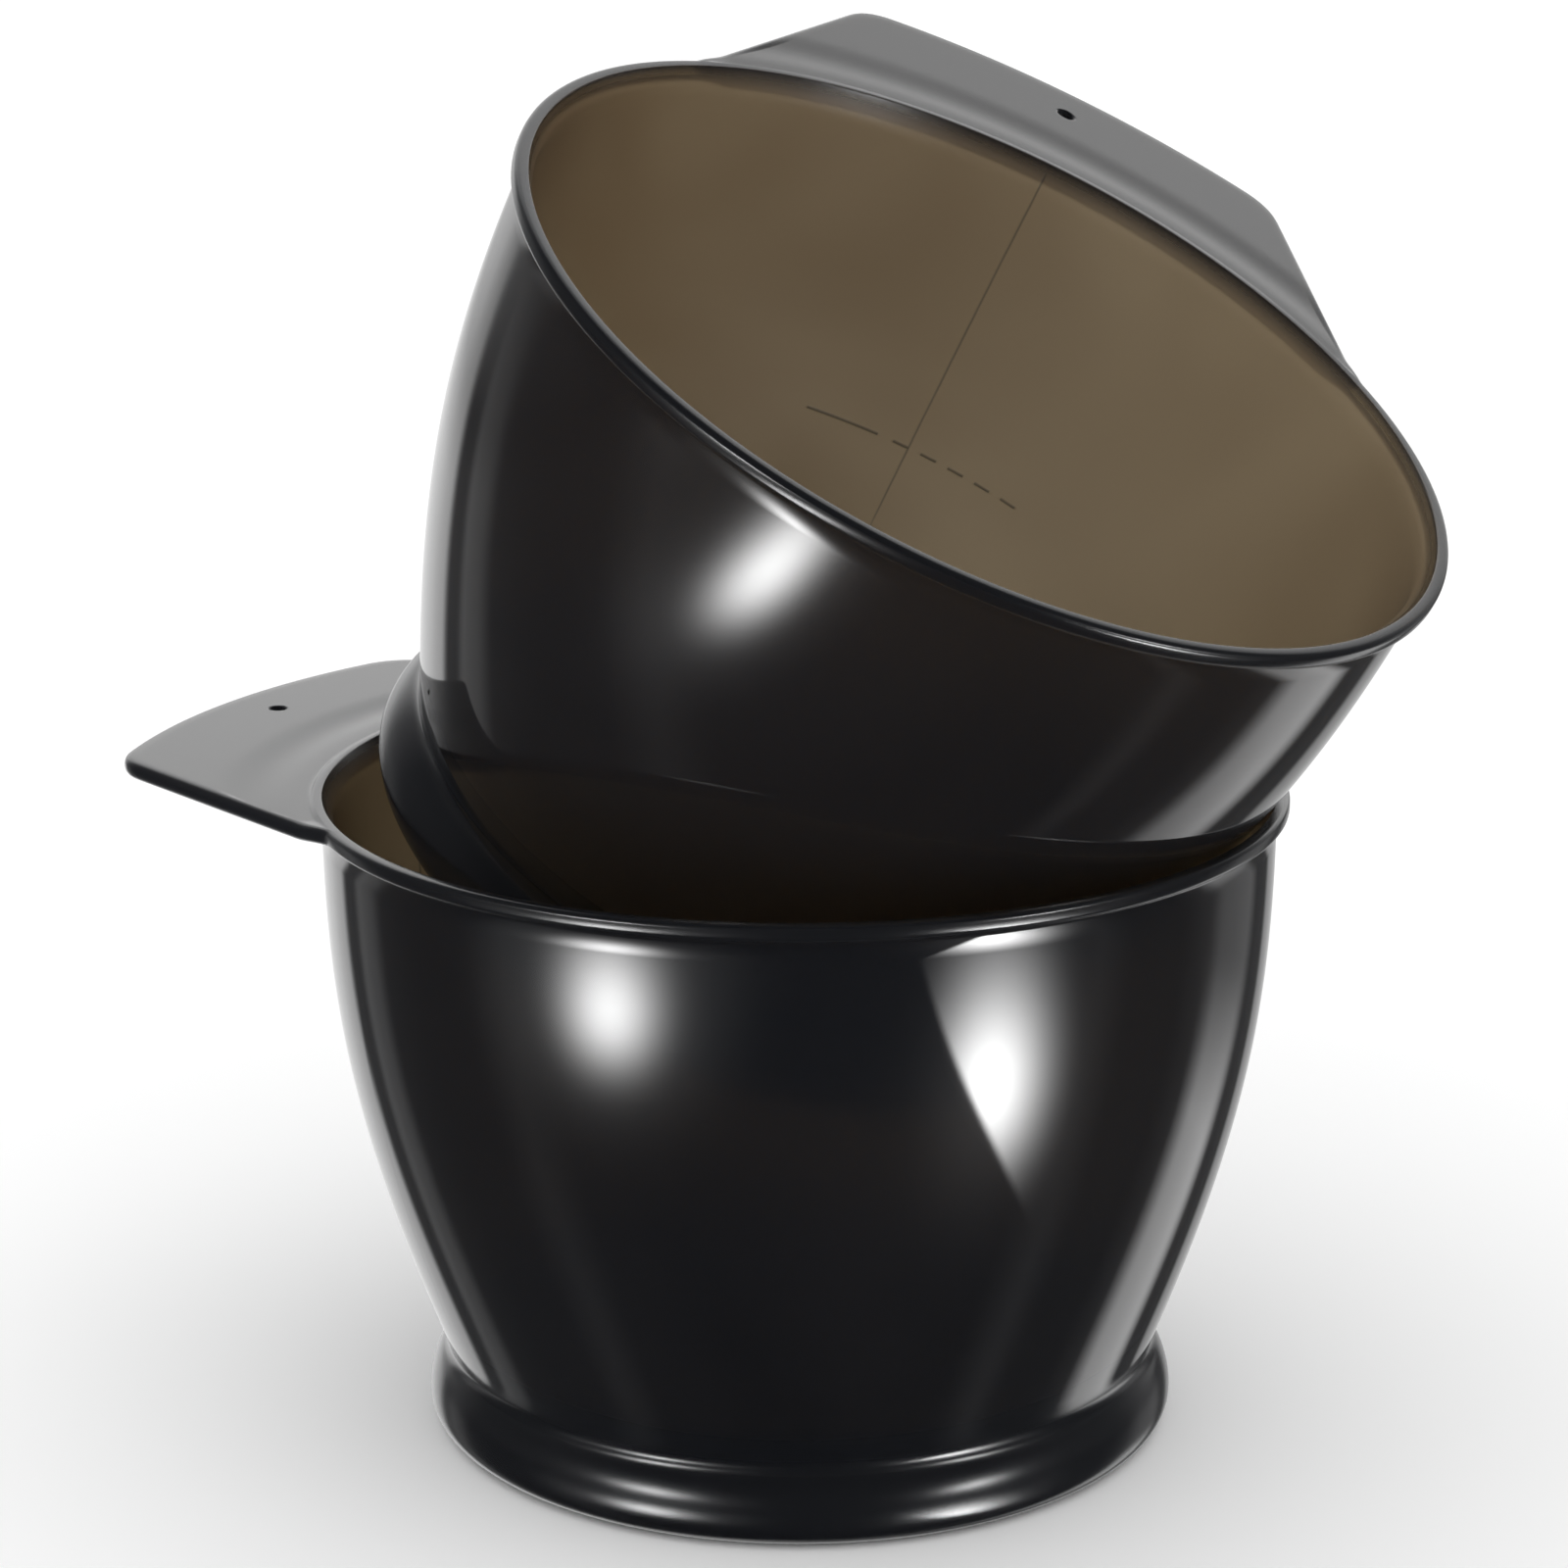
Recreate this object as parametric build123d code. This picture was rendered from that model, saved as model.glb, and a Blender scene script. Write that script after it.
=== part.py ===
"""Hair colour bowls: a deep one-piece tint bowl, and a second one of the same moulding tipped in its mouth.

Millimetres, +Z up. The origin is the centre of the lower bowl's sole, on the worktop.
Each bowl is designed in its own frame: axis on +Z, sole at z = 0, ear towards +X.
"""
import os
from math import cos, hypot, radians, sin, tan

from build123d import *

# Driving dimensions of one bowl
RIM_R = 65.0            # outside of the lip
RIM_IN_R = 63.2         # mouth, at the top of the rim
HEIGHT = 87.7           # sole to rim
WALL = 1.4              # side wall, measured level
LIP_H = 2.2             # height of the lip that stands out from the wall
LIP_ROUND = 0.7         # rounding of the lip's two outer edges
WAIST_R = 47.85         # crease between side wall and foot, before it is rounded
WAIST_Z = 9.9
WAIST_ROUND = 2.5
FOOT_R = 50.8           # widest section of the foot
FOOT_ROUND = 3.0        # rounding under the foot
SOLE_IN_R = 45.9        # inside of the foot's skirt, at the worktop
SKIRT_IN_R = 45.5       # and up at the floor
FLOOR_TOP = 9.6         # inside of the bowl at its centre
FLOOR_T = 1.8
WALL_LEAN_DEG = 69.0    # slope of the side wall where the floor's round corner meets it

# Outside of the side wall between waist and lip: (radius, height). The first is level with the top
# of the round corner inside. The wall is upright where it runs into the lip.
WALL_SHAPE = [(50.55, 17.0), (55.4, 31.0), (59.7, 47.0), (62.5, 65.0)]
WALL_TOP_R = 63.35

# Ear: the flat grip moulded onto the rim
EAR_R = 94.0            # outer edge, an arc about the bowl's axis
EAR_ROOT_DEG = 50.5     # half angle where the ear leaves the lip
EAR_TIP_DEG = 20.5      # half angle at the outer corners, before they are rounded
EAR_CORNER = 9.0
EAR_T = 2.4
EAR_DROP = 0.5          # top of the ear below the rim
EAR_EDGE = 0.8          # rounding of the ear's outer edges
EAR_INNER_R = 63.1      # the plate ends inside the lip
GATE_R = 1.25           # dimple left by the injection gate
GATE_AT_R = 85.0
GATE_DEPTH = 0.5

# Filling mark on the inside: a raised level line that goes on as dashes
LEVEL_Z = 42.0
LEVEL_RIB_H = 0.5       # along the wall
LEVEL_RIB_OUT = 0.3     # how far it stands out of the wall
LEVEL_LINE_DEG = (4.8, 16.0)
DASH_START_DEG = 2.5
DASH_DEG = 2.6
DASH_PITCH_DEG = 4.4
DASH_COUNT = 5

# How the two bowls stand
LOWER_EAR_DEG = 150.7
UPPER_EAR_DEG = 79.6
UPPER_LEAN_DEG = (17.34, 23.71)             # about X, then about Y
UPPER_AT = (-10.6, 12.41, 72.29)            # centre of the upper bowl's sole


def polar(r, deg):
    """Point at radius r and angle deg about the bowl's axis."""
    return (r * cos(radians(deg)), r * sin(radians(deg)))


def wall_points(inset):
    """Side wall from waist to lip, moved in by inset."""
    shape = [(WAIST_R, WAIST_Z), *WALL_SHAPE, (WALL_TOP_R, HEIGHT - LIP_H)]
    return [(r - inset, z) for r, z in shape]


def shell():
    """Side wall, floor, lip and hollow foot as one solid of revolution."""
    inside = wall_points(WALL)[1:]
    lip_z = HEIGHT - LIP_H
    skirt_top = FLOOR_TOP - FLOOR_T
    corner_r, corner_z = inside[0]
    lean = radians(WALL_LEAN_DEG)
    floor_r = corner_r - (corner_z - FLOOR_TOP) / tan(lean / 2)
    with BuildPart() as body:
        with BuildSketch(Plane.XZ) as section:
            with BuildLine():
                Line((SOLE_IN_R, 0), (FOOT_R - FOOT_ROUND, 0))
                TangentArc((FOOT_R - FOOT_ROUND, 0), (FOOT_R, FOOT_ROUND), tangent=(1, 0))
                TangentArc((FOOT_R, FOOT_ROUND), (WAIST_R, WAIST_Z), tangent=(0, 1))
                Spline(*wall_points(0), tangents=[(cos(lean), sin(lean)), (0, 1)])
                Polyline((WALL_TOP_R, lip_z), (RIM_R, lip_z), (RIM_R, HEIGHT), (RIM_IN_R, HEIGHT), inside[-1])
                Spline(*reversed(inside), tangents=[(0, -1), (-cos(lean), -sin(lean))])
                TangentArc((floor_r, FLOOR_TOP), inside[0], tangent=(1, 0))
                Polyline((floor_r, FLOOR_TOP), (0, FLOOR_TOP), (0, skirt_top),
                         (SKIRT_IN_R, skirt_top), (SOLE_IN_R, 0))
            make_face()
            for corner, rounding in [((WAIST_R, WAIST_Z), WAIST_ROUND), ((RIM_R, lip_z), LIP_ROUND),
                                     ((RIM_R, HEIGHT), LIP_ROUND)]:
                nearest = section.vertices().sort_by_distance(corner)[0]
                fillet(nearest, rounding)
        revolve(axis=Axis.Z)
    return body.part


def ear():
    """Flat grip: straight sides running out from the lip to an outer edge that follows the rim's curve."""
    top = HEIGHT - EAR_DROP
    inner = Vector(*polar(EAR_INNER_R, EAR_ROOT_DEG))
    root = Vector(*polar(RIM_R, EAR_ROOT_DEG))
    tip = Vector(*polar(EAR_R, EAR_TIP_DEG))
    mirrored = [Vector(p.X, -p.Y) for p in (inner, root, tip)]
    with BuildPart() as plate:
        with BuildSketch(Plane.XY.offset(top - EAR_T)) as outline:
            with BuildLine():
                Polyline(inner, root, tip)
                ThreePointArc(tip, (EAR_R, 0), mirrored[2])
                Polyline(mirrored[2], mirrored[1], mirrored[0])
                ThreePointArc(mirrored[0], (EAR_INNER_R, 0), inner)
            make_face()
            tips = [v for v in outline.vertices() if v.X > tip.X - 0.01]
            fillet(tips, EAR_CORNER)
        extrude(amount=EAR_T)
        middles = [(e, e @ 0.5) for e in plate.edges().filter_by(Plane.XY)]
        fillet([e for e, middle in middles if hypot(middle.X, middle.Y) > RIM_R + 1], EAR_EDGE)
        with Locations((GATE_AT_R, 0, top)):
            Cylinder(GATE_R, 2 * GATE_DEPTH, mode=Mode.SUBTRACT)
    return plate.part


def level_rib(start_deg, sweep_deg):
    """Raised line along the inside at the filling level."""
    wall_r = wall_radius_at(LEVEL_Z) - WALL
    with BuildPart() as rib:
        with BuildSketch(Plane.XZ.rotated((0, 0, start_deg))):
            with Locations((wall_r, LEVEL_Z)):
                Rectangle(2 * LEVEL_RIB_OUT, LEVEL_RIB_H)
        revolve(axis=Axis.Z, revolution_arc=sweep_deg)
    return rib.part


def wall_radius_at(z):
    """Outside radius of the side wall at height z."""
    wall = Edge.make_spline([Vector(r, 0, h) for r, h in wall_points(0)])
    level = Edge.make_line((0, 0, z), (RIM_R, 0, z))
    return wall.intersect(level).vertices()[0].X


def bowl():
    """One moulding."""
    body = shell() + ear()
    first, last = LEVEL_LINE_DEG
    body += level_rib(first, last - first)
    for i in range(DASH_COUNT):
        body += level_rib(DASH_START_DEG - DASH_DEG - i * DASH_PITCH_DEG, DASH_DEG)
    return body


moulding = bowl()
lean_x, lean_y = UPPER_LEAN_DEG
lower_bowl = Rotation(0, 0, LOWER_EAR_DEG) * moulding
upper_bowl = Location(UPPER_AT, (lean_x, lean_y, UPPER_EAR_DEG)) * moulding

os.makedirs("parts", exist_ok=True)
export_step(lower_bowl, "parts/lower_bowl.step")
export_step(upper_bowl, "parts/upper_bowl.step")
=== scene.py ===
"""Two hair colour bowls in smoke-tinted clear plastic: one standing, one tipped in its mouth.

Lengths are in millimetres until a mesh is written, and each bowl is shaped in its own frame first:
axis on +Z, sole at z = 0, ear towards +X. Every piece is one closed skin, so that light is tinted
by the thickness of plastic it crosses.
"""
from math import asin, atan2, cos, degrees, pi, radians, sin, sqrt, tan

import bmesh
import bpy
import numpy as np
from mathutils import Euler, Matrix, Vector


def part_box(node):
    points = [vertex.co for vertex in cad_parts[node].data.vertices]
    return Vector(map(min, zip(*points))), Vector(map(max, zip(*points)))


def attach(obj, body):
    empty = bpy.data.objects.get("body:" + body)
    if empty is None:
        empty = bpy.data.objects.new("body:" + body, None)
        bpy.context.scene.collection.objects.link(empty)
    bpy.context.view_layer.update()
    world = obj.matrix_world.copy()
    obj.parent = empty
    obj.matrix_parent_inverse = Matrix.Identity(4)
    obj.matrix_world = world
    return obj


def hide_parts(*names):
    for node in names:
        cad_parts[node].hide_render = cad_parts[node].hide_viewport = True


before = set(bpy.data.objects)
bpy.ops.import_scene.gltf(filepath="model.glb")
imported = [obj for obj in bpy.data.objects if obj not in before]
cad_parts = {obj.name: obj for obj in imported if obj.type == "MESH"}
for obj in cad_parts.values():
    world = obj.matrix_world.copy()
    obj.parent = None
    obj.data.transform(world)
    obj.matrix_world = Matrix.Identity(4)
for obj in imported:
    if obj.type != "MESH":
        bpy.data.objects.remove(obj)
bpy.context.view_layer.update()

MM = 0.001

# One bowl, from the frame where the frame says it
low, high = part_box("lower_bowl")
RIM_R = -low.y / MM                     # the standing bowl's ear points away from -Y
HEIGHT = high.z / MM
RIM_IN_R = RIM_R - 1.8
WALL = 1.4
LIP_H = 2.2
LIP_ROUND = 0.7
UNDER_LIP_ROUND = 0.8
MOUTH_ROUND = 0.2
WAIST_R = 47.85                         # the crease between side wall and foot, before it is rounded
WAIST_Z = 9.9
WAIST_ROUND = 3.0                       # height of the round in the crease
FOOT_R = 50.8
FOOT_ROUND = 3.0
SOLE_IN_R = 45.9
SOLE_EDGE = 0.25                        # rounding of the sole's inner edge
SKIRT_IN_R = 45.5
SKIRT_CORNER = 0.8                      # round between the skirt and the floor's underside
FLOOR_TOP = 9.6
FLOOR_T = 1.8
CORNER_LEAN_DEG = 69.0                  # slope of the wall where the floor's round corner meets it
WALL_SHAPE = [(50.55, 17.0), (55.4, 31.0), (59.7, 47.0), (62.5, 65.0)]
WALL_TOP_R = 63.35

# The ear
EAR_R = 94.0
EAR_ROOT_DEG = 50.5
EAR_TIP_DEG = 20.5
EAR_CORNER = 9.0
EAR_ROOT_ROUND = 2.5
EAR_T = 2.4
EAR_DROP = 0.5
EAR_STEP = 0.7                          # width of the step down from the rim
EAR_EDGE = 1.0
EAR_BLEND = 3.0                         # lip turns into ear over this much of its reach
HOLLOW_R = (66.5, 78.0)                 # a faint hollow across the ear, beside the rim
HOLLOW_DEPTH = 0.3
GATE_R = 1.25
GATE_AT_R = 85.0
GATE_DEPTH = 0.9
GATE_EDGE = 0.5                         # width of the dimple's sloping edge

# Marks on the inside: a weld line under the middle of the ear, and the filling level
WELD_DEPTH = 0.12
WELD_HALF_DEG = 0.22
WELD_Z = (34.0, 88.0)
WELD_FADE = 12.0                        # the weld line dies away over this height, below WELD_Z
LEVEL_Z = 42.0
LEVEL_RIB_H = 0.45
LEVEL_RIB_OUT = 0.22
LEVEL_LINE_DEG = (4.8, 16.0)
DASH_START_DEG = 2.5
DASH_DEG = 2.6
DASH_PITCH_DEG = 4.4
DASH_COUNT = 5
DASH_END_DEG = 0.12                     # width of the slope at each end of a dash

# How they stand
LOWER_EAR_DEG = 150.7
UPPER_EAR_DEG = 79.6
UPPER_LEAN_DEG = (17.34, 23.71)         # about X, then about Y
FACET_ALLOWANCE = 0.9993                # keeps the smooth skin within the frame's faceted one

# Values of the skin's "inside" attribute, which the material reads
OUTER, FOOT, LIP, EAR_TOP, MOUTH, INNER = 0.0, 0.1, 0.2, 0.3, 0.6, 1.0

# Colours painted on the plastic's surface, lit and shaded copies of the one smoke tint: pale brown
# inside is painted light, near black outside is painted shade; and what the plastic soaks up within
# its thickness
INSIDE_LIT_DEEP = (0.60, 0.40, 0.21)
INSIDE_LIT_PALE = (1.0, 0.75, 0.46)
OUTSIDE_SHADED_DEEP = (0.040, 0.045, 0.058)
OUTSIDE_SHADED_PALE = (0.055, 0.060, 0.075)
# colour that the moulded weld line and the filling marks are darkened towards
MARK_DARK = (0.02, 0.018, 0.015)
SMOKE = (0.468, 0.363, 0.111, 1.0)
SMOKE_DENSITY = 850.0
POLISHED = 0.045                        # roughness of the outside
SATIN = 0.3                             # what the inside adds to it

# Brightness of the room in reflections, by direction round the object in degrees (0 is towards the
# camera's side, 90 is +X, 180 is behind), each with its share by height above the horizon.
STUDIO_GAIN = 2.5
WHITE_LEVEL = 1.45                      # for everything that isn't a reflection
AROUND_ABOVE = [(-180, 1.6), (-152, 1.5), (-138, 0.4), (-115, 0.1), (-80, 0.12), (-60, 0.04),
                (0, 0.02), (60, 0.04), (80, 0.12), (115, 0.15), (138, 0.6), (152, 1.5), (180, 1.6)]
UP_ABOVE = [(-4, 0.0), (4, 1.0), (40, 1.0), (60, 0.6), (90, 0.3)]
AROUND_BELOW = [(-180, 1.1), (-153, 1.6), (-143, 1.5), (-140, 0.15), (-134, 0.15), (-131, 0.5),
                (-124, 0.4), (-119, 0.1), (-104, 0.06), (-86, 0.06), (-74, 0.2), (-62, 0.05),
                (0, 0.02), (62, 0.05), (76, 0.27), (86, 0.08), (104, 0.07), (116, 0.2), (122, 0.55),
                (138, 0.5), (143, 0.12), (152, 0.12), (155, 0.7), (180, 1.1)]
UP_BELOW = [(-90, 0.4), (-50, 0.8), (-8, 1.0), (4, 0.0)]
AROUND_LOW = [(114, 0.0), (122, 1.6), (136, 1.6), (142, 0.0)]
UP_LOW = [(-60, 0.3), (-42, 1.0), (-28, 1.0), (-20, 0.0)]
CARD_FALLOFF = 6.0                      # how fast a lamp's core and halo fade, in half sizes

CAMERA_AT = (0.0, -0.56651, 0.24371)
CAMERA_DEG = (74.569, 0.1386, 0.1641)
CAMERA_LENS = 101.4146


# ---------------------------------------------------------------- shape of one bowl

def smooth(x):
    """0 below 0, 1 above 1, and an even S between."""
    x = np.clip(x, 0.0, 1.0)
    return x * x * (3 - 2 * x)


def arc(centre, radius, start_deg, end_deg, count):
    """Points of an arc as (radius, height) pairs."""
    angles = np.radians(np.linspace(start_deg, end_deg, count))
    return [(centre[0] + radius * cos(a), centre[1] + radius * sin(a)) for a in angles]


def wall_curve():
    """Outside radius of the side wall as a smooth function of height, upright at the top."""
    radii, heights = zip(*[(WAIST_R, WAIST_Z), *WALL_SHAPE, (WALL_TOP_R, HEIGHT - LIP_H)])
    powers = np.arange(len(radii) + 2)
    share = np.array(heights) / HEIGHT
    values = share[:, None] ** powers
    slopes = share[[0, -1], None] ** np.maximum(powers - 1, 0) * powers
    lean = HEIGHT / tan(radians(CORNER_LEAN_DEG))
    weights = np.linalg.solve(np.vstack([values, slopes]), [*radii, lean, 0.0])
    shape = np.polynomial.Polynomial(weights)
    return lambda z: shape(z / HEIGHT)


class EarOutline:
    """Outer edge of lip and ear, as radius and outward direction for each angle."""

    def __init__(self):
        self.root = Vector((RIM_R * cos(radians(EAR_ROOT_DEG)), RIM_R * sin(radians(EAR_ROOT_DEG))))
        tip = Vector((EAR_R * cos(radians(EAR_TIP_DEG)), EAR_R * sin(radians(EAR_TIP_DEG))))
        self.along = (tip - self.root).normalized()
        self.out = Vector((-self.along.y, self.along.x))
        self.corner = self.beside(-EAR_CORNER, EAR_R - EAR_CORNER)
        self.hollow = self.beside(EAR_ROOT_ROUND, RIM_R + EAR_ROOT_ROUND)
        self.breaks = [self.angle(self.corner),
                       self.angle(self.corner + self.out * EAR_CORNER),
                       self.angle(self.hollow - self.out * EAR_ROOT_ROUND),
                       self.angle(self.hollow)]

    @staticmethod
    def angle(point):
        return atan2(point.y, point.x)

    def beside(self, offset, radius):
        """Centre at that distance out of the straight side, and at that radius from the axis."""
        start = self.root + self.out * offset
        b = start.dot(self.along)
        c = start.length_squared - radius * radius
        return start + self.along * (sqrt(b * b - c) - b)

    def at(self, theta):
        """(radius, outward unit x, outward unit y) at an angle in radians."""
        side = 1 if theta >= 0 else -1
        a = abs(theta)
        ray = Vector((cos(a), sin(a)))
        corner, straight_out, straight_in, round_in = self.breaks
        if a <= corner:
            r, n = EAR_R, ray
        elif a <= straight_out:
            r = self.cross(ray, self.corner, EAR_CORNER, 1)
            n = (ray * r - self.corner).normalized()
        elif a <= straight_in:
            r = self.root.dot(self.out) / ray.dot(self.out)
            n = self.out
        elif a <= round_in:
            r = self.cross(ray, self.hollow, EAR_ROOT_ROUND, -1)
            n = (self.hollow - ray * r).normalized()
        else:
            r, n = RIM_R, ray
        return r, n.x, n.y * side

    @staticmethod
    def cross(ray, centre, radius, sign):
        """Distance along the ray to a circle, on its far side (1) or its near side (-1)."""
        b = ray.dot(centre)
        return b + sign * sqrt(max(b * b - centre.length_squared + radius * radius, 0.0))


def dashes():
    """Start and end angle of each raised stretch of the filling mark, in degrees."""
    spans = [LEVEL_LINE_DEG]
    for i in range(DASH_COUNT):
        start = DASH_START_DEG - DASH_DEG - i * DASH_PITCH_DEG
        spans.append((start, start + DASH_DEG))
    return spans


def column_angles():
    """Angles of the skin's columns: closer together along the ear, and closest at the fine marks."""
    ear_end = EAR_ROOT_DEG + 4
    coarse, medium, fine, least = 1.5, 0.7, 0.16, 0.04
    angles = [*np.arange(-ear_end, ear_end, medium), *np.arange(ear_end, 360 - ear_end, coarse)]
    angles += [*np.arange(-1.3, 1.31, fine), -WELD_HALF_DEG, 0.0, WELD_HALF_DEG]
    for start, end in dashes():
        angles += [start, start + DASH_END_DEG, end - DASH_END_DEG, end]
    angles = np.sort(np.mod(np.array(angles) + 180, 360) - 180)
    keep = np.concatenate([[True], np.diff(angles) > least])
    return np.radians(angles[keep])


def bend(before, corner, after, count):
    """A smooth turn from one point to another that leaves and arrives along the lines to a corner."""
    before, corner, after = (np.array(p) for p in (before, corner, after))
    return [tuple((1 - t) ** 2 * before + 2 * t * (1 - t) * corner + t * t * after)
            for t in np.linspace(0, 1, count)]


def lower_section(wall):
    """(radius, height) from the axis under the floor, round the foot, to just above the waist."""
    under = FLOOR_TOP - FLOOR_T
    rise = WAIST_Z - FOOT_ROUND
    bulge = ((FOOT_R - WAIST_R) ** 2 + rise ** 2) / (2 * (FOOT_R - WAIST_R))
    middle = (FOOT_R - bulge, FOOT_ROUND)
    end_deg = degrees(asin((rise - WAIST_ROUND / 2) / bulge))

    points = [(r, under) for r in (0.0, 8.0, 20.0, 32.0, 42.0)]
    points += bend((SKIRT_IN_R - SKIRT_CORNER, under), (SKIRT_IN_R, under),
                   (SKIRT_IN_R + 0.15, under - SKIRT_CORNER), 5)
    points += [(SKIRT_IN_R + (SOLE_IN_R - SKIRT_IN_R) * f, under * (1 - f)) for f in (0.3, 0.6, 0.9)]
    points += bend((SOLE_IN_R - 0.05, SOLE_EDGE), (SOLE_IN_R, 0.0), (SOLE_IN_R + SOLE_EDGE, 0.0), 4)
    points += arc((FOOT_R - FOOT_ROUND, FOOT_ROUND), FOOT_ROUND, -90, 0, 9)
    points += arc(middle, bulge, 0, end_deg, 12)[1:]
    waist_top = WAIST_Z + WAIST_ROUND / 2
    return points[:-1] + bend(points[-1], (WAIST_R, WAIST_Z), (wall(waist_top), waist_top), 11)


def inner_section(wall):
    """(radius, height) down the inside wall, round the floor's corner, to the axis."""
    top_z = HEIGHT - LIP_H
    corner_r, corner_z = WALL_SHAPE[0][0] - WALL, WALL_SHAPE[0][1]
    fine = [LEVEL_Z + k * LEVEL_RIB_H / 2 for k in (-1.6, -1.1, -0.7, -0.3, 0.3, 0.7, 1.1, 1.6)]
    heights = list(np.linspace(top_z, LEVEL_Z + 1, 20)) + fine[::-1]
    heights += list(np.linspace(LEVEL_Z - 1, corner_z, 14))
    points = [(wall(z) - WALL, z) for z in heights]
    run = (corner_z - FLOOR_TOP) / tan(radians(CORNER_LEAN_DEG / 2))
    radius = (run ** 2 + (corner_z - FLOOR_TOP) ** 2) / (2 * (corner_z - FLOOR_TOP))
    centre = (corner_r - run, FLOOR_TOP + radius)
    points += arc(centre, radius, CORNER_LEAN_DEG - 90, -90, 12)[1:]
    return points + [(r, FLOOR_TOP) for r in (30.0, 20.0, 10.0, 3.0, 0.0)]


def section_rows(columns):
    """The closed section at every column, as rows of (x, y, z, inside, line) arrays."""
    outline = EarOutline()
    wall = wall_curve()
    edge = np.array([outline.at(t) for t in columns])
    radius, normal = edge[:, 0], edge[:, 1:]
    ray = np.stack([np.cos(columns), np.sin(columns)], 1)
    on_ear = smooth((radius - RIM_R) / EAR_BLEND)
    rounding = LIP_ROUND + (EAR_EDGE - LIP_ROUND) * on_ear
    top = HEIGHT - EAR_DROP * on_ear
    bottom = HEIGHT - LIP_H - (EAR_T + EAR_DROP - LIP_H) * on_ear
    rows = []

    def add(xy, z, inside):
        rows.append(np.column_stack([xy, np.broadcast_to(z, radius.shape),
                                     np.full(radius.shape, inside), np.zeros(radius.shape)]))

    def ring(r, z, inside):
        add(ray * np.broadcast_to(r, radius.shape)[:, None], z, inside)

    for r, z in lower_section(wall):
        ring(r, z, FOOT)
    wall_foot = WAIST_Z + WAIST_ROUND / 2
    wall_end = bottom - UNDER_LIP_ROUND
    for f in np.linspace(0, 1, 34)[1:]:
        z = wall_foot + f * (wall_end - wall_foot)
        ring(wall(z), z, OUTER)
    lip_flat = RIM_R - LIP_ROUND
    grow = lip_flat - wall(wall_end)
    for a in np.radians([30, 60, 90]):
        ring(wall(wall_end) + grow * (1 - cos(a)), wall_end + UNDER_LIP_ROUND * sin(a), LIP)

    inner_end = ray * lip_flat
    outer_end = ray * radius[:, None] - normal * rounding[:, None]
    span = np.linalg.norm(outer_end - inner_end, axis=1)
    for t in ear_stations()[1:]:
        add(inner_end + (outer_end - inner_end) * t, bottom, LIP)
    soft = np.minimum(rounding, (top - bottom) / 2 - 0.05)
    for a in np.radians([22, 45, 68, 90]):
        add(outer_end + normal * (rounding * sin(a))[:, None], bottom + soft * (1 - cos(a)), LIP)
    for a in np.radians([90, 68, 45, 22, 0]):
        add(outer_end + normal * (rounding * sin(a))[:, None], top - soft * (1 - cos(a)), LIP)
    for t in ear_stations()[::-1][1:]:
        xy = inner_end + (outer_end - inner_end) * t
        add(xy, ear_top(xy, t * span, on_ear, top), EAR_TOP)
    for a in np.radians([90, 67, 45, 22, 0]):
        ring(RIM_IN_R + MOUTH_ROUND * (1 - cos(a)), HEIGHT - MOUTH_ROUND * (1 - sin(a)), MOUTH)
    for r, z in inner_section(wall):
        ring(r, z, INNER)
    mark_inside(rows, columns)
    return rows


def ear_stations():
    """Shares of the way out along the ear's top, close together at its features."""
    gate = (GATE_AT_R - RIM_R + LIP_ROUND) / (EAR_R - RIM_R + LIP_ROUND - EAR_EDGE)
    near_gate = [gate + k * 0.0085 for k in range(-8, 9)]
    near_rim = [0.0, 0.008, 0.016, 0.026, 0.04]
    return sorted([*near_rim, *np.arange(0.07, 0.61, 0.04), *near_gate, 0.83, 0.87, 0.91, 0.95, 1.0])


def ear_top(xy, inward, on_ear, top):
    """Height of the ear's top: a step down from the rim, a faint hollow, and the gate's dimple."""
    step = EAR_DROP * on_ear * (1 - smooth(inward / EAR_STEP))
    from_axis = np.hypot(xy[:, 0], xy[:, 1])
    start, end = HOLLOW_R
    across = np.clip((from_axis - start) / (end - start), 0, 1)
    hollow = HOLLOW_DEPTH * np.sin(pi * across) ** 2 * on_ear
    from_gate = np.hypot(xy[:, 0] - GATE_AT_R, xy[:, 1])
    dimple = 1 - smooth((from_gate - GATE_R + 0.7 * GATE_EDGE) / GATE_EDGE)
    return top + step - hollow - GATE_DEPTH * dimple


def mark_inside(rows, columns):
    """Cuts the weld line into the inside wall and raises the filling mark on it, in place."""
    degs = np.degrees(columns)
    weld = np.clip(1 - np.abs(degs) / WELD_HALF_DEG, 0, 1)
    raised = np.zeros(degs.shape)
    for start, end in dashes():
        raised = np.maximum(raised, np.minimum(smooth((degs - start + 0.02) / DASH_END_DEG),
                                               smooth((end - degs + 0.02) / DASH_END_DEG)))
    for row in rows:
        z = row[0, 2]
        if row[0, 3] < INNER or not WELD_Z[0] - WELD_FADE < z < WELD_Z[1]:
            continue
        fade = smooth((z - WELD_Z[0] + WELD_FADE) / WELD_FADE)
        across = 1 - smooth((abs(z - LEVEL_Z) - LEVEL_RIB_H / 4) / (LEVEL_RIB_H / 4))
        radial = row[:, :2] / np.linalg.norm(row[:, :2], axis=1)[:, None]
        row[:, :2] += radial * (weld * WELD_DEPTH * fade - raised * LEVEL_RIB_OUT * across)[:, None]
        row[:, 4] = np.maximum(weld * fade, raised * across)


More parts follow.
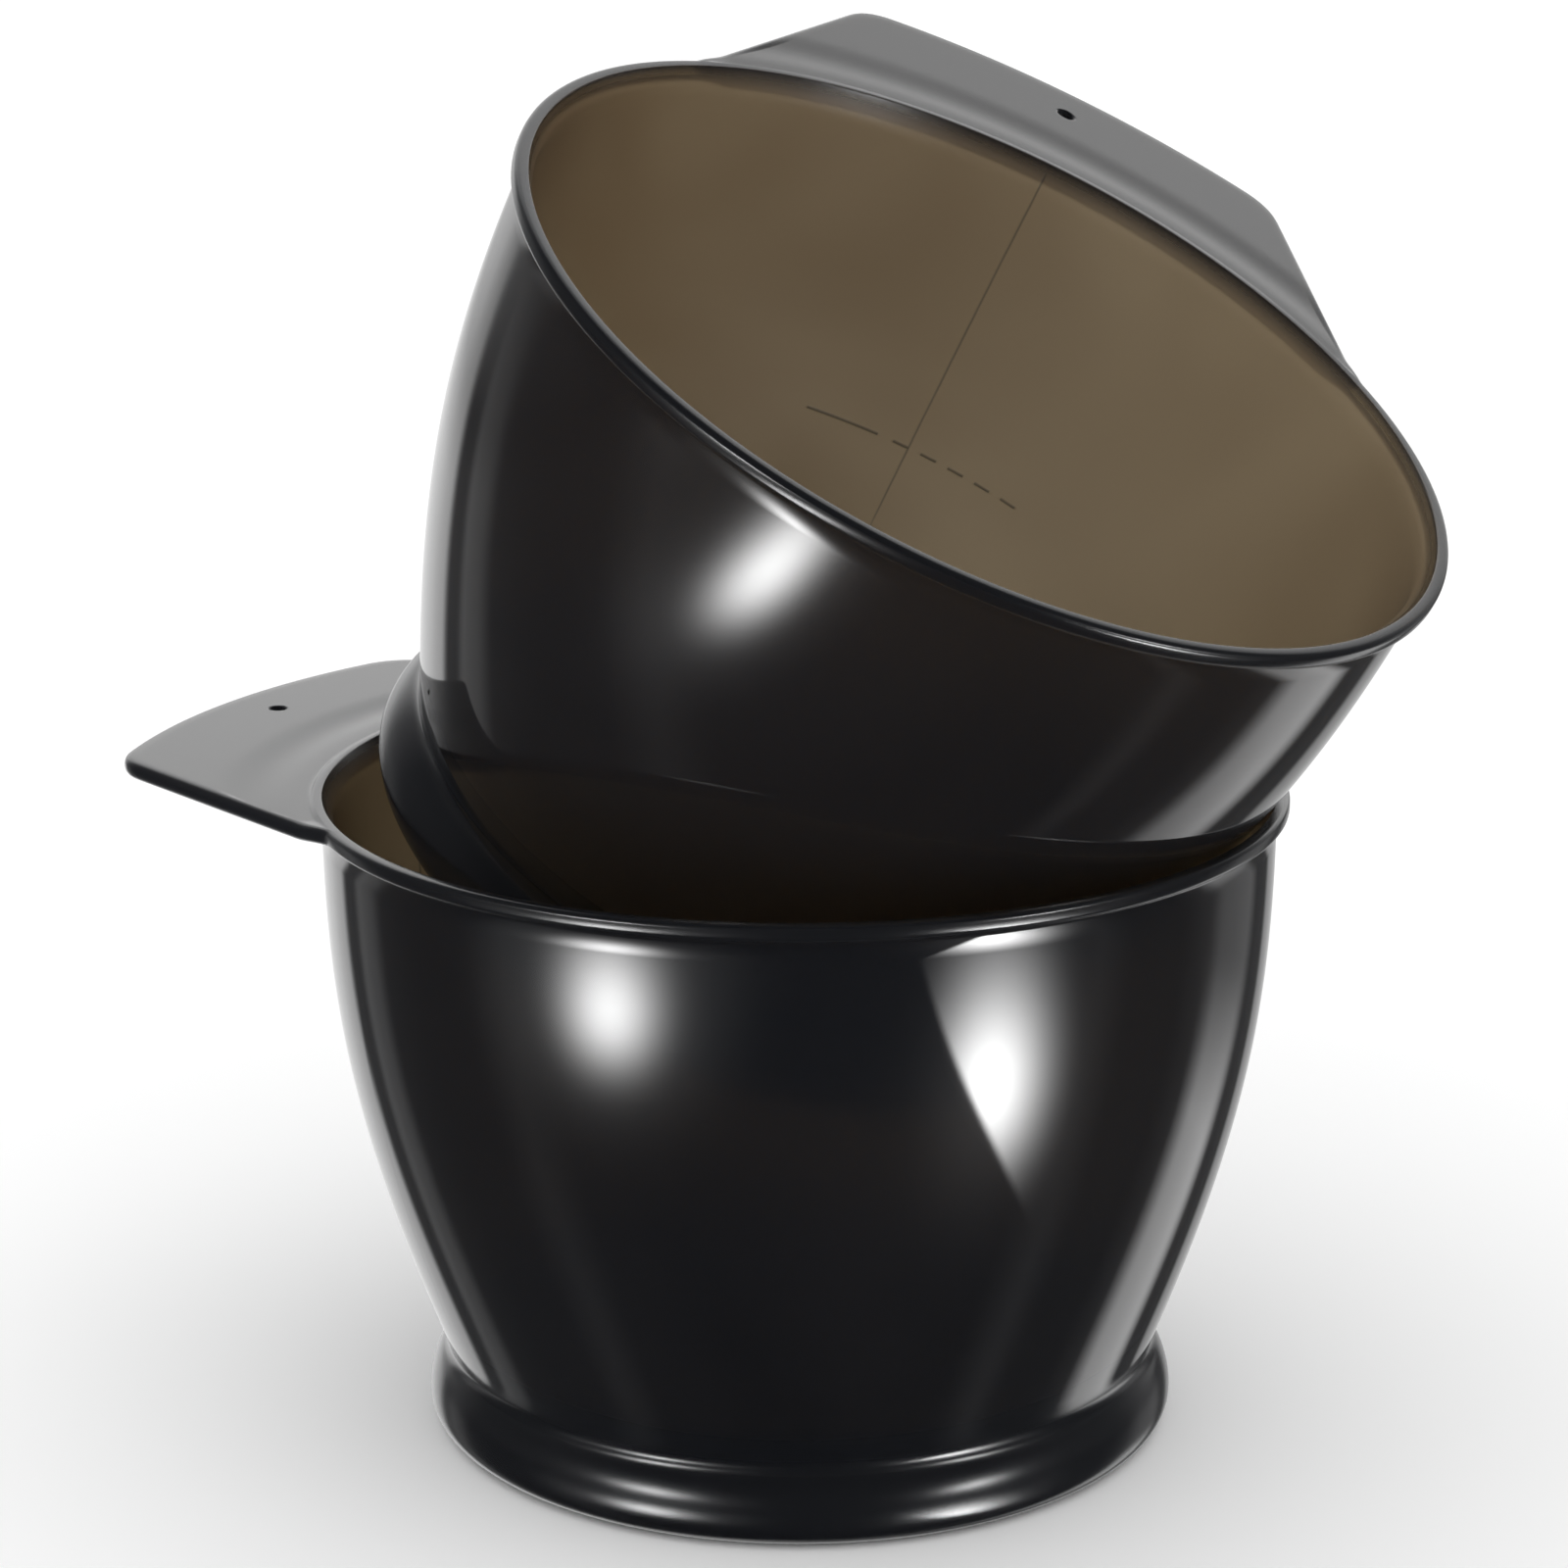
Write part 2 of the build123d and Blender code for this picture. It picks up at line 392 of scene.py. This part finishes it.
def bowl_mesh(name):
    """One bowl's closed skin in its own frame, in metres, with 'inside' and 'line' on its points."""
    rows = np.array(section_rows(column_angles()))
    count, across = rows.shape[:2]
    verts = rows[:, :, :3].reshape(-1, 3) * MM
    faces = [(i * across + j, i * across + (j + 1) % across,
              (i + 1) * across + (j + 1) % across, (i + 1) * across + j)
             for i in range(count - 1) for j in range(across)]
    mesh = bpy.data.meshes.new(name)
    mesh.from_pydata(verts.tolist(), [], faces)
    for column, label in ((3, "inside"), (4, "line")):
        values = mesh.attributes.new(label, "FLOAT", "POINT")
        values.data.foreach_set("value", rows[:, :, column].ravel().astype(np.float32))
    skin = bmesh.new()
    skin.from_mesh(mesh)
    bmesh.ops.remove_doubles(skin, verts=skin.verts, dist=1e-7)
    bmesh.ops.dissolve_degenerate(skin, edges=skin.edges, dist=1e-7)
    bmesh.ops.recalc_face_normals(skin, faces=skin.faces)
    for face in skin.faces:
        face.smooth = True
    skin.to_mesh(mesh)
    skin.free()
    return mesh


def place(mesh, node, turn):
    """Turns the skin and sets it where the frame's node is."""
    mesh.transform(turn)
    points = np.array([v.co for v in mesh.vertices])
    lowest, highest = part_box(node)
    middle = Vector((points.min(0) + points.max(0)) / 2)
    mesh.transform(Matrix.Translation((lowest + highest) / 2)
                   @ Matrix.Scale(FACET_ALLOWANCE, 4) @ Matrix.Translation(-middle))


# ---------------------------------------------------------------- material

class Nodes:
    """Short hand for building a node tree."""

    def __init__(self, tree):
        self.tree = tree
        tree.nodes.clear()

    def add(self, kind, **settings):
        node = self.tree.nodes.new(kind)
        for key, value in settings.items():
            setattr(node, key, value)
        return node

    def link(self, source, target):
        self.tree.links.new(source, target)

    def math(self, operation, *values):
        node = self.add("ShaderNodeMath", operation=operation)
        for socket, value in zip(node.inputs, values):
            if isinstance(value, (int, float)):
                socket.default_value = value
            else:
                self.link(value, socket)
        return node.outputs[0]

    def ramp(self, factor, stops):
        node = self.add("ShaderNodeValToRGB")
        elements = node.color_ramp.elements
        while len(elements) < len(stops):
            elements.new(0.5)
        for element, (position, colour) in zip(elements, stops):
            element.position = position
            element.color = (*colour, 1.0) if isinstance(colour, tuple) else (colour,) * 3 + (1.0,)
        self.link(factor, node.inputs[0])
        return node.outputs[0]

    def mix(self, factor, a, b):
        node = self.add("ShaderNodeMix", data_type="RGBA")
        self.link(factor, node.inputs[0])
        for value, socket in ((a, node.inputs[6]), (b, node.inputs[7])):
            if isinstance(value, tuple):
                socket.default_value = (*value, 1.0)
            else:
                self.link(value, socket)
        return node.outputs[2]


def smoke_plastic():
    """Smoke-tinted clear plastic, dark where thick: a polished outside with painted shade in a near
    black colour, and a satin inside with painted light in a pale brown colour that grows paler
    towards +X as a painted glow.
    """
    material = bpy.data.materials.new("smoke_plastic")
    material.use_nodes = True
    n = Nodes(material.node_tree)
    output = n.add("ShaderNodeOutputMaterial")
    shader = n.add("ShaderNodeBsdfPrincipled")
    n.link(shader.outputs["BSDF"], output.inputs["Surface"])
    shader.inputs["Transmission Weight"].default_value = 0.86
    shader.inputs["IOR"].default_value = 1.5
    tint = n.add("ShaderNodeVolumeAbsorption")
    tint.inputs["Color"].default_value = SMOKE
    tint.inputs["Density"].default_value = SMOKE_DENSITY
    n.link(tint.outputs["Volume"], output.inputs["Volume"])

    place_at = n.add("ShaderNodeTexCoord").outputs["Object"]
    inside = n.add("ShaderNodeAttribute", attribute_name="inside").outputs["Fac"]
    line = n.add("ShaderNodeAttribute", attribute_name="line").outputs["Fac"]
    flow = n.add("ShaderNodeTexNoise")
    flow.inputs["Scale"].default_value = 16.0
    flow.inputs["Detail"].default_value = 2.0
    flow.inputs["Distortion"].default_value = 0.6
    n.link(place_at, flow.inputs["Vector"])
    side = n.add("ShaderNodeSeparateXYZ")
    n.link(place_at, side.inputs[0])
    # painted light: the inside is painted paler towards +X, a painted glow of light shining through
    # the wall there; the flow noise adds the plastic's own cloudy tone
    painted_glow_to_x = n.math("MULTIPLY", n.math("ADD", side.outputs["X"], -0.02), 4.0)
    cloudy_and_painted_glow = n.ramp(n.math("ADD", flow.outputs["Fac"], painted_glow_to_x),
                    [(0.2, INSIDE_LIT_DEEP), (0.75, INSIDE_LIT_PALE)])
    # painted shade: the outside's colour is near black, a shaded copy of the smoke tint whose inside
    # copy is painted pale brown as painted light
    outside_shaded_tone = n.ramp(flow.outputs["Fac"], [(0.3, OUTSIDE_SHADED_DEEP), (0.7, OUTSIDE_SHADED_PALE)])
    within = n.ramp(inside, [(0.55, 0.0), (0.95, 1.0)])
    n.link(n.mix(n.math("MULTIPLY", line, 0.75), n.mix(within, outside_shaded_tone, cloudy_and_painted_glow), MARK_DARK),
           shader.inputs["Base Color"])
    dulled = n.ramp(inside, [(OUTER, 0.0), (FOOT, 0.45), (0.55, 0.5), (0.95, 1.0)])
    satin = n.math("MULTIPLY", dulled, SATIN)
    worn = n.math("MULTIPLY", n.math("SUBTRACT", flow.outputs["Fac"], 0.5), 0.03)
    n.link(n.math("MAXIMUM", n.math("ADD", n.math("ADD", satin, POLISHED), worn), 0.02),
           shader.inputs["Roughness"])
    waves = n.add("ShaderNodeTexNoise")
    waves.inputs["Scale"].default_value = 70.0
    n.link(place_at, waves.inputs["Vector"])
    bump = n.add("ShaderNodeBump")
    bump.inputs["Distance"].default_value = 0.0001
    n.link(n.math("MULTIPLY", within, 0.3), bump.inputs["Strength"])
    n.link(waves.outputs["Fac"], bump.inputs["Height"])
    n.link(bump.outputs["Normal"], shader.inputs["Normal"])
    return material


def floor_material():
    """Matt pale paper."""
    material = bpy.data.materials.new("paper")
    material.use_nodes = True
    n = Nodes(material.node_tree)
    output = n.add("ShaderNodeOutputMaterial")
    shader = n.add("ShaderNodeBsdfDiffuse")
    n.link(shader.outputs["BSDF"], output.inputs["Surface"])
    fibre = n.add("ShaderNodeTexNoise")
    fibre.inputs["Scale"].default_value = 60.0
    n.link(n.ramp(fibre.outputs["Fac"], [(0.0, 0.93), (1.0, 0.96)]), shader.inputs["Color"])
    return material


# ---------------------------------------------------------------- studio

def studio_world():
    """White all round for what is seen directly or through the plastic; for reflections, a dark
    room with a bright backdrop behind the object and soft strips at its sides. What lies below the
    horizon is the room's mirror image in a glossy table."""
    world = bpy.data.worlds.new("studio")
    bpy.context.scene.world = world
    world.use_nodes = True
    world.cycles.sampling_method = "NONE"
    n = Nodes(world.node_tree)
    output = n.add("ShaderNodeOutputWorld")
    background = n.add("ShaderNodeBackground")
    n.link(background.outputs[0], output.inputs["Surface"])
    direction = n.add("ShaderNodeSeparateXYZ")
    n.link(n.add("ShaderNodeTexCoord").outputs["Generated"], direction.inputs[0])
    x, y, z = direction.outputs
    heading = n.math("ARCTAN2", x, n.math("MULTIPLY", y, -1.0))
    turn = n.math("ADD", n.math("DIVIDE", heading, 2 * pi), 0.5)
    rise = n.math("ADD", n.math("DIVIDE", n.math("ARCSINE", z), pi), 0.5)

    def part(around, up):
        levels = [n.ramp(factor, [(deg / span + 0.5, level / STUDIO_GAIN) for deg, level in stops])
                  for factor, span, stops in ((turn, 360, around), (rise, 180, up))]
        return n.math("MULTIPLY", *levels)

    room = n.math("ADD", n.math("ADD", part(AROUND_ABOVE, UP_ABOVE), part(AROUND_BELOW, UP_BELOW)),
                  part(AROUND_LOW, UP_LOW))
    room = n.math("MULTIPLY", room, STUDIO_GAIN ** 2)
    path = n.add("ShaderNodeLightPath")
    seen_by_gloss = n.math("MULTIPLY", path.outputs["Is Glossy Ray"],
                           n.math("SUBTRACT", 1.0, path.outputs["Is Transmission Ray"]))
    white = n.math("MULTIPLY", n.math("SUBTRACT", 1.0, seen_by_gloss), WHITE_LEVEL)
    n.link(n.math("ADD", n.math("MULTIPLY", room, seen_by_gloss), white),
           background.inputs["Strength"])


def key_card(name, at, size, core, gain, halo, cut=None):
    """A soft lamp that only reflections see: a bright core in a faint halo, facing the bowls.

    The core can be cut along a slanting line: (slope, shift, softness) in the card's own metres."""
    mesh = bpy.data.meshes.new(name)
    w, h = size
    mesh.from_pydata([(-w, -h, 0), (w, -h, 0), (w, h, 0), (-w, h, 0)], [], [(0, 1, 2, 3)])
    card = bpy.data.objects.new(name, mesh)
    bpy.context.scene.collection.objects.link(card)
    card.location = at
    card.rotation_mode = "QUATERNION"
    card.rotation_quaternion = (Vector((0.0, -0.05, 0.05)) - Vector(at)).to_track_quat("Z", "Y")
    for ray in ("camera", "diffuse", "transmission", "shadow", "volume_scatter"):
        setattr(card, "visible_" + ray, False)
    material = bpy.data.materials.new(name)
    material.use_nodes = True
    n = Nodes(material.node_tree)
    output = n.add("ShaderNodeOutputMaterial")
    light = n.add("ShaderNodeEmission")
    clear = n.add("ShaderNodeBsdfTransparent")
    both = n.add("ShaderNodeAddShader")
    n.link(light.outputs[0], both.inputs[0])
    n.link(clear.outputs[0], both.inputs[1])
    n.link(both.outputs[0], output.inputs["Surface"])
    across = n.add("ShaderNodeSeparateXYZ")
    n.link(n.add("ShaderNodeTexCoord").outputs["Object"], across.inputs[0])
    x, y = across.outputs["X"], across.outputs["Y"]

    def spot(half_w, half_h):
        u, v = n.math("DIVIDE", x, half_w), n.math("DIVIDE", y, half_h)
        square = n.math("ADD", n.math("MULTIPLY", u, u), n.math("MULTIPLY", v, v))
        return n.math("EXPONENT", n.math("MULTIPLY", square, -CARD_FALLOFF))

    level = n.math("MULTIPLY", spot(*core), gain)
    if cut is not None:
        slope, shift, soft = cut
        edge = n.math("ADD", n.math("SUBTRACT", n.math("MULTIPLY", y, slope), x), shift)
        shade = n.math("MAXIMUM", n.math("DIVIDE", edge, soft), 0.0)
        level = n.math("MULTIPLY", level, n.math("MINIMUM", shade, 1.0))
    n.link(n.math("ADD", level, n.math("MULTIPLY", spot(w, h), halo)), light.inputs["Strength"])
    mesh.materials.append(material)


def camera():
    """Looks a little down on the bowls from in front."""
    data = bpy.data.cameras.new("camera")
    data.lens = CAMERA_LENS
    data.sensor_width = 36.0
    data.clip_start = 0.05
    data.clip_end = 20.0
    view = bpy.data.objects.new("camera", data)
    bpy.context.scene.collection.objects.link(view)
    view.location = CAMERA_AT
    view.rotation_euler = Euler([radians(a) for a in CAMERA_DEG], "XYZ")
    bpy.context.scene.camera = view


# ---------------------------------------------------------------- assembly

def add_bowl(node, turn):
    """Makes one bowl's visible skin, standing where its node stands."""
    mesh = bowl_mesh(node + "_moulding")
    place(mesh, node, turn)
    mesh.materials.append(plastic)
    piece = bpy.data.objects.new(node + "_moulding", mesh)
    bpy.context.scene.collection.objects.link(piece)
    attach(piece, node)
    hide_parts(node)


plastic = smoke_plastic()
add_bowl("lower_bowl", Matrix.Rotation(radians(LOWER_EAR_DEG), 4, "Z"))
lean_x, lean_y = (radians(a) for a in UPPER_LEAN_DEG)
upper_turn = (Matrix.Rotation(lean_x, 4, "X") @ Matrix.Rotation(lean_y, 4, "Y")
              @ Matrix.Rotation(radians(UPPER_EAR_DEG), 4, "Z"))
add_bowl("upper_bowl", upper_turn)

floor_mesh = bpy.data.meshes.new("floor")
floor_mesh.from_pydata([(-6, -6, 0), (6, -6, 0), (6, 6, 0), (-6, 6, 0)], [], [(0, 1, 2, 3)])
floor_mesh.materials.append(floor_material())
floor = bpy.data.objects.new("floor", floor_mesh)
bpy.context.scene.collection.objects.link(floor)
floor.location.z = -0.0002
floor.visible_glossy = False
floor.visible_shadow = False

studio_world()
key_card("key_left", (-0.33, -0.357, 0.12), (0.5, 0.2), (0.2, 0.08), 20.0, 0.8)
key_card("key_left_in_table", (-0.33, -0.357, -0.1), (0.5, 0.2), (0.2, 0.095), 22.0, 1.0)
key_card("key_right", (0.377, -0.307, 0.12), (0.4, 0.2), (0.16, 0.08), 20.0, 0.6)
key_card("key_right_in_table", (0.345, -0.35, -0.175), (0.3, 0.26), (0.24, 0.19), 30.0, 0.5,
         cut=(1.4, 0.06, 0.02))
camera()
bpy.context.scene.view_settings.view_transform = "Standard"
